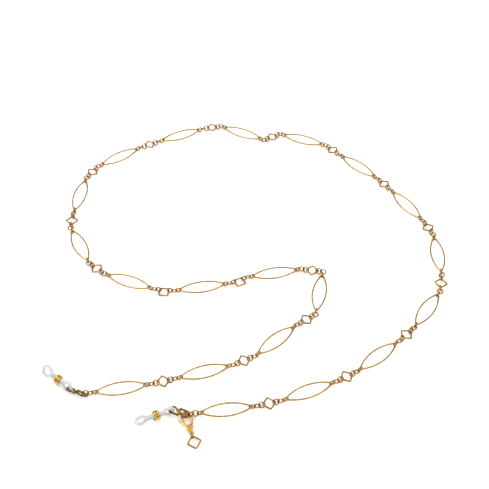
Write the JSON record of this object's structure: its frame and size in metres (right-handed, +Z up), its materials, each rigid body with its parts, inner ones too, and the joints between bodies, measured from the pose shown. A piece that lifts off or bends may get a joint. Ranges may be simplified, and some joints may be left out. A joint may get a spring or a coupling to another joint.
{
  "type": "eyeglasses chain strap",
  "caption": "Eyeglasses chain strap of pointed oval and square wire links joined by jump rings, with soft temple loops, S-hooks, a lobster clasp and a square charm.",
  "frame": {"origin": "middle of the laid-out strap's outline, on the table under it", "axes": "+Z up from the table; +X to the right and +Y to the back as the strap is laid out"},
  "size_m": [0.1856, 0.2014, 0.0065],
  "materials": {
    "clasp_gold": "bright yellow gold plate",
    "coil_gold": "bright yellow gold plate",
    "hook_gold": "darker antique gold",
    "link_gold": "bright gold plate",
    "oval_gold": "bright gold plate with a fine twist",
    "silicone": "translucent, smooth",
    "spring_steel": "plain"
  },
  "bodies": {
    "square_10": {"square_link_and_rings_10": "link_gold"},
    "marquise_01": {"marquise_link_01": "oval_gold"},
    "marquise_02": {"marquise_link_02": "oval_gold"},
    "marquise_03": {"marquise_link_03": "oval_gold"},
    "marquise_04": {"marquise_link_04": "oval_gold"},
    "marquise_05": {"marquise_link_05": "oval_gold"},
    "marquise_06": {"marquise_link_06": "oval_gold"},
    "marquise_07": {"marquise_link_07": "oval_gold"},
    "marquise_08": {"marquise_link_08": "oval_gold"},
    "marquise_09": {"marquise_link_09": "oval_gold"},
    "marquise_10": {"marquise_link_10": "oval_gold"},
    "marquise_11": {"marquise_link_11": "oval_gold"},
    "marquise_12": {"marquise_link_12": "oval_gold"},
    "marquise_13": {"marquise_link_13": "oval_gold"},
    "marquise_14": {"marquise_link_14": "oval_gold"},
    "marquise_15": {"marquise_link_15": "oval_gold"},
    "marquise_16": {"marquise_link_16": "oval_gold"},
    "marquise_17": {"marquise_link_17": "oval_gold"},
    "marquise_18": {"marquise_link_18": "oval_gold"},
    "marquise_19": {"marquise_link_19": "oval_gold"},
    "marquise_20": {"marquise_link_20": "oval_gold"},
    "square_01": {"square_link_and_rings_01": "link_gold"},
    "square_02": {"square_link_and_rings_02": "link_gold"},
    "square_03": {"square_link_and_rings_03": "link_gold"},
    "square_04": {"square_link_and_rings_04": "link_gold"},
    "square_05": {"square_link_and_rings_05": "link_gold"},
    "square_06": {"square_link_and_rings_06": "link_gold"},
    "square_07": {"square_link_and_rings_07": "link_gold"},
    "square_08": {"square_link_and_rings_08": "link_gold"},
    "square_09": {"square_link_and_rings_09": "link_gold"},
    "square_11": {"square_link_and_rings_11": "link_gold"},
    "square_12": {"square_link_and_rings_12": "link_gold"},
    "square_13": {"square_link_and_rings_13": "link_gold"},
    "square_14": {"square_link_and_rings_14": "link_gold"},
    "square_15": {"square_link_and_rings_15": "link_gold"},
    "square_16": {"square_link_and_rings_16": "link_gold"},
    "square_17": {"square_link_and_rings_17": "link_gold"},
    "square_18": {"square_link_and_rings_18": "link_gold"},
    "square_19": {"square_link_and_rings_19": "link_gold"},
    "left_rings": {"left_end_rings": "link_gold"},
    "left_hook": {"left_s_hook": "hook_gold"},
    "left_loop": {"left_silicone_loop": "silicone"},
    "left_coil": {"left_wire_coil": "coil_gold"},
    "right_rings": {"right_end_rings": "link_gold"},
    "right_hook": {"right_s_hook": "hook_gold"},
    "right_loop": {"right_silicone_loop": "silicone"},
    "right_coil": {"right_wire_coil": "coil_gold"},
    "clasp": {"lobster_body": "clasp_gold", "lobster_rivet": "clasp_gold", "lobster_spring": "spring_steel"},
    "clasp_lever": {"lobster_lever": "clasp_gold"},
    "clasp_tail_ring": {"lobster_tail_ring": "link_gold"},
    "charm": {"square_charm": "link_gold"}
  },
  "joints": [
    {"name": "charm_swing", "type": "hinge", "parent": "clasp_tail_ring", "child": "charm", "pos_m": [-0.02475, -0.09588, 0.00151], "axis": [0.0269, -0.0829, 0.9962], "range_deg": [-60, 60]},
    {"name": "clasp_lever_press", "type": "hinge", "parent": "clasp", "child": "clasp_lever", "pos_m": [-0.02629, -0.09116, 0.00151], "axis": [0, 0, -1], "range_deg": [0, 15]},
    {"name": "clasp_swing", "type": "hinge", "parent": "right_rings", "child": "clasp", "pos_m": [-0.02827, -0.08507, 0.00151], "axis": [0, 0, -1], "range_deg": [-5, 40]},
    {"name": "clasp_tail_ring_swing", "type": "hinge", "parent": "clasp", "child": "clasp_tail_ring", "pos_m": [-0.02553, -0.09351, 0.00151], "axis": [0, 0, -1], "range_deg": [-60, 60]},
    {"name": "coil_left_slide", "type": "slide", "parent": "left_loop", "child": "left_coil", "axis": [-0.7761, 0.6285, 0.0523], "range_m": [-0.0004, 0.002]},
    {"name": "coil_right_slide", "type": "slide", "parent": "right_loop", "child": "right_coil", "axis": [-0.9196, -0.3904, 0.0436], "range_m": [-0.0004, 0.002]},
    {"name": "hook_left_swing", "type": "hinge", "parent": "left_rings", "child": "left_hook", "pos_m": [-0.07238, -0.07508, 0.0021], "axis": [0.2765, 0.5235, 0.8059], "range_deg": [-60, 60]},
    {"name": "hook_right_swing", "type": "hinge", "parent": "right_rings", "child": "right_hook", "pos_m": [-0.02824, -0.08524, 0.0027], "axis": [0.0328, -0.0119, 0.9994], "range_deg": [-40, 45]},
    {"name": "loop_left_swing", "type": "hinge", "parent": "left_hook", "child": "left_loop", "pos_m": [-0.07759, -0.07309, 0.00259], "axis": [-0.2765, -0.5235, -0.8059], "range_deg": [-60, 60]},
    {"name": "loop_right_swing", "type": "hinge", "parent": "right_hook", "child": "right_loop", "pos_m": [-0.0335, -0.08332, 0.00289], "axis": [-0.0328, 0.0119, -0.9994], "range_deg": [-60, 60]},
    {"name": "marquise_11_near_tip_fold", "type": "hinge", "parent": "square_10", "child": "marquise_11", "pos_m": [-0.0482, 0.08687, 0.0021], "axis": [0.4067, -0.9135, 0], "range_deg": [-75, 75]},
    {"name": "marquise_11_far_tip_fold", "type": "hinge", "parent": "marquise_11", "child": "square_11", "pos_m": [-0.02861, 0.09559, 0.0021], "axis": [-0.4067, 0.9135, 0], "range_deg": [-75, 75]},
    {"name": "marquise_12_near_tip_fold", "type": "hinge", "parent": "square_11", "child": "marquise_12", "pos_m": [-0.01444, 0.09765, 0.0021], "axis": [0.4384, 0.8988, 0], "range_deg": [-75, 75]},
    {"name": "marquise_12_far_tip_fold", "type": "hinge", "parent": "marquise_12", "child": "square_12", "pos_m": [0.00483, 0.08825, 0.0021], "axis": [-0.4384, -0.8988, 0], "range_deg": [-75, 75]},
    {"name": "marquise_13_near_tip_fold", "type": "hinge", "parent": "square_12", "child": "marquise_13", "pos_m": [0.01799, 0.09141, 0.0021], "axis": [-0.3584, -0.9336, 0], "range_deg": [-75, 75]},
    {"name": "marquise_13_far_tip_fold", "type": "hinge", "parent": "marquise_13", "child": "square_13", "pos_m": [0.03801, 0.08373, 0.0021], "axis": [0.3584, 0.9336, 0], "range_deg": [-75, 75]},
    {"name": "marquise_14_near_tip_fold", "type": "hinge", "parent": "square_13", "child": "marquise_14", "pos_m": [0.04875, 0.07379, 0.0021], "axis": [0.7071, 0.7071, 0], "range_deg": [-75, 75]},
    {"name": "marquise_14_far_tip_fold", "type": "hinge", "parent": "marquise_14", "child": "square_14", "pos_m": [0.06391, 0.05863, 0.0021], "axis": [-0.7071, -0.7071, 0], "range_deg": [-75, 75]},
    {"name": "marquise_15_near_tip_fold", "type": "hinge", "parent": "square_14", "child": "marquise_15", "pos_m": [0.07262, 0.04667, 0.0021], "axis": [-0.848, -0.5299, 0], "range_deg": [-75, 75]},
    {"name": "marquise_15_far_tip_fold", "type": "hinge", "parent": "marquise_15", "child": "square_15", "pos_m": [0.08398, 0.02849, 0.0021], "axis": [0.848, 0.5299, 0], "range_deg": [-75, 75]},
    {"name": "marquise_16_near_tip_fold", "type": "hinge", "parent": "square_15", "child": "marquise_16", "pos_m": [0.08908, 0.01476, 0.0021], "axis": [0.9998, 0.0175, 0], "range_deg": [-75, 75]},
    {"name": "marquise_16_far_tip_fold", "type": "hinge", "parent": "marquise_16", "child": "square_16", "pos_m": [0.08945, -0.00668, 0.0021], "axis": [-0.9998, -0.0175, 0], "range_deg": [-75, 75]},
    {"name": "marquise_17_near_tip_fold", "type": "hinge", "parent": "square_16", "child": "marquise_17", "pos_m": [0.08587, -0.02083, 0.0021], "axis": [-0.8192, 0.5736, 0], "range_deg": [-75, 75]},
    {"name": "marquise_17_far_tip_fold", "type": "hinge", "parent": "marquise_17", "child": "square_17", "pos_m": [0.07357, -0.03839, 0.0021], "axis": [0.8192, -0.5736, 0], "range_deg": [-75, 75]},
    {"name": "marquise_18_near_tip_fold", "type": "hinge", "parent": "square_17", "child": "marquise_18", "pos_m": [0.06311, -0.04882, 0.0021], "axis": [0.6293, -0.7771, 0], "range_deg": [-75, 75]},
    {"name": "marquise_18_far_tip_fold", "type": "hinge", "parent": "marquise_18", "child": "square_18", "pos_m": [0.04645, -0.06232, 0.0021], "axis": [-0.6293, 0.7771, 0], "range_deg": [-75, 75]},
    {"name": "marquise_19_near_tip_fold", "type": "hinge", "parent": "square_18", "child": "marquise_19", "pos_m": [0.03358, -0.06958, 0.0021], "axis": [-0.3746, 0.9272, 0], "range_deg": [-75, 75]},
    {"name": "marquise_19_far_tip_fold", "type": "hinge", "parent": "marquise_19", "child": "square_19", "pos_m": [0.0137, -0.07762, 0.0021], "axis": [0.3746, -0.9272, 0], "range_deg": [-75, 75]},
    {"name": "marquise_20_near_tip_fold", "type": "hinge", "parent": "square_19", "child": "marquise_20", "pos_m": [-0.00063, -0.08127, 0.0021], "axis": [0.1392, -0.9903, 0], "range_deg": [-75, 75]},
    {"name": "marquise_20_far_tip_fold", "type": "hinge", "parent": "marquise_20", "child": "right_rings", "pos_m": [-0.02186, -0.08425, 0.0021], "axis": [-0.1392, 0.9903, 0], "range_deg": [-75, 75]},
    {"name": "marquise_10_near_tip_fold", "type": "hinge", "parent": "square_10", "child": "marquise_10", "pos_m": [-0.0613, 0.07997, 0.0021], "axis": [-0.5736, 0.8192, 0], "range_deg": [-75, 75]},
    {"name": "marquise_10_far_tip_fold", "type": "hinge", "parent": "marquise_10", "child": "square_09", "pos_m": [-0.07886, 0.06767, 0.0021], "axis": [0.5736, -0.8192, 0], "range_deg": [-75, 75]},
    {"name": "marquise_09_near_tip_fold", "type": "hinge", "parent": "square_09", "child": "marquise_09", "pos_m": [-0.08633, 0.05531, 0.0021], "axis": [0.9903, -0.1392, 0], "range_deg": [-75, 75]},
    {"name": "marquise_09_far_tip_fold", "type": "hinge", "parent": "marquise_09", "child": "square_08", "pos_m": [-0.08931, 0.03408, 0.0021], "axis": [-0.9903, 0.1392, 0], "range_deg": [-75, 75]},
    {"name": "marquise_08_near_tip_fold", "type": "hinge", "parent": "square_08", "child": "marquise_08", "pos_m": [-0.0886, 0.01952, 0.0021], "axis": [-0.891, -0.454, 0], "range_deg": [-75, 75]},
    {"name": "marquise_08_far_tip_fold", "type": "hinge", "parent": "marquise_08", "child": "square_07", "pos_m": [-0.07886, 0.00042, 0.0021], "axis": [0.891, 0.454, 0], "range_deg": [-75, 75]},
    {"name": "marquise_07_near_tip_fold", "type": "hinge", "parent": "square_07", "child": "marquise_07", "pos_m": [-0.06783, -0.00903, 0.0021], "axis": [0.3584, 0.9336, 0], "range_deg": [-75, 75]},
    {"name": "marquise_07_far_tip_fold", "type": "hinge", "parent": "marquise_07", "child": "square_06", "pos_m": [-0.04782, -0.01671, 0.0021], "axis": [-0.3584, -0.9336, 0], "range_deg": [-75, 75]},
    {"name": "marquise_06_near_tip_fold", "type": "hinge", "parent": "square_06", "child": "marquise_06", "pos_m": [-0.0341, -0.01812, 0.0021], "axis": [0.1736, -0.9848, 0], "range_deg": [-75, 75]},
    {"name": "marquise_06_far_tip_fold", "type": "hinge", "parent": "marquise_06", "child": "square_05", "pos_m": [-0.01298, -0.0144, 0.0021], "axis": [-0.1736, 0.9848, 0], "range_deg": [-75, 75]},
    {"name": "marquise_05_near_tip_fold", "type": "hinge", "parent": "square_05", "child": "marquise_05", "pos_m": [0.00009, -0.00974, 0.0021], "axis": [-0.1908, 0.9816, 0], "range_deg": [-75, 75]},
    {"name": "marquise_05_far_tip_fold", "type": "hinge", "parent": "marquise_05", "child": "square_04", "pos_m": [0.02113, -0.00565, 0.0021], "axis": [0.1908, -0.9816, 0], "range_deg": [-75, 75]},
    {"name": "marquise_04_near_tip_fold", "type": "hinge", "parent": "square_04", "child": "marquise_04", "pos_m": [0.03305, -0.00924, 0.0021], "axis": [-0.9816, 0.1908, 0], "range_deg": [-75, 75]},
    {"name": "marquise_04_far_tip_fold", "type": "hinge", "parent": "marquise_04", "child": "square_03", "pos_m": [0.02896, -0.03028, 0.0021], "axis": [0.9816, -0.1908, 0], "range_deg": [-75, 75]},
    {"name": "marquise_03_near_tip_fold", "type": "hinge", "parent": "square_03", "child": "marquise_03", "pos_m": [0.01832, -0.03979, 0.0021], "axis": [0.6691, -0.7431, 0], "range_deg": [-75, 75]},
    {"name": "marquise_03_far_tip_fold", "type": "hinge", "parent": "marquise_03", "child": "square_02", "pos_m": [0.00238, -0.05413, 0.0021], "axis": [-0.6691, 0.7431, 0], "range_deg": [-75, 75]},
    {"name": "marquise_02_near_tip_fold", "type": "hinge", "parent": "square_02", "child": "marquise_02", "pos_m": [-0.01073, -0.06079, 0.0021], "axis": [-0.2756, 0.9613, 0], "range_deg": [-75, 75]},
    {"name": "marquise_02_far_tip_fold", "type": "hinge", "parent": "marquise_02", "child": "square_01", "pos_m": [-0.03134, -0.0667, 0.0021], "axis": [0.2756, -0.9613, 0], "range_deg": [-75, 75]},
    {"name": "marquise_01_near_tip_fold", "type": "hinge", "parent": "square_01", "child": "marquise_01", "pos_m": [-0.04569, -0.07038, 0.0021], "axis": [0.1736, -0.9848, 0], "range_deg": [-75, 75]},
    {"name": "marquise_01_far_tip_fold", "type": "hinge", "parent": "marquise_01", "child": "left_rings", "pos_m": [-0.06681, -0.0741, 0.0021], "axis": [-0.1736, 0.9848, 0], "range_deg": [-75, 75]}
  ]
}
